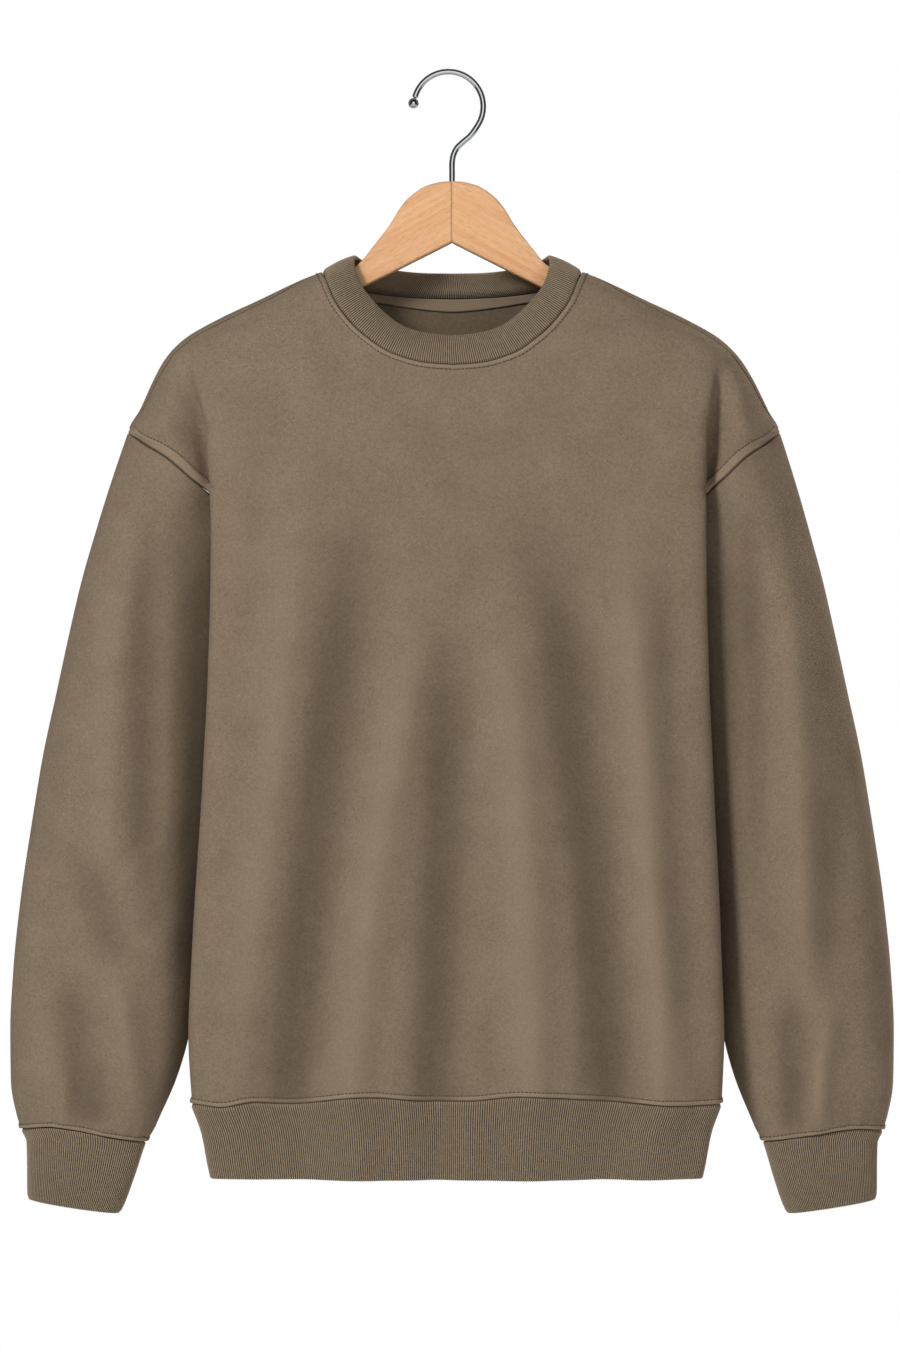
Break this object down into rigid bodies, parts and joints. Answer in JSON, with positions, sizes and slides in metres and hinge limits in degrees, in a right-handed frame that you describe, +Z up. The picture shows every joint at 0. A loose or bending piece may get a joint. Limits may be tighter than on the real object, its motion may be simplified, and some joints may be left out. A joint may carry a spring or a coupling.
{
  "type": "crewneck sweatshirt on a wooden hanger",
  "caption": "Oversized long-sleeved fleece sweatshirt with rib collar, cuffs and hem, hanging flat on a wooden hanger with a chrome hook.",
  "frame": {"origin": "inside top of the hanger's hook, where a rail bears, straight above the hook's shank", "axes": "+Z up, -Y towards the garment's front, +X to the right as seen from the front"},
  "size_m": [0.69, 0.1523, 0.8936],
  "materials": {
    "fleece": "brushed cotton fleece, garment dyed taupe brown, matt and slightly mottled",
    "rib": "cotton rib knit in the same brown, a little darker",
    "neck_tape": "flat woven cotton tape in the same brown",
    "hanger_wood": "pale beech with a thin satin varnish",
    "hook_metal": "polished chromed steel wire"
  },
  "bodies": {
    "root": {"front": "fleece", "back": "fleece", "sleeve_left": "fleece", "sleeve_right": "fleece", "cuff_left": "rib", "cuff_right": "rib", "collar": "rib", "hem_band": "rib", "neck_tape": "neck_tape", "hanger_arm_left": "hanger_wood", "hanger_arm_right": "hanger_wood", "hanger_hook": "hook_metal", "hook_ball": "hook_metal"}
  },
  "joints": []
}
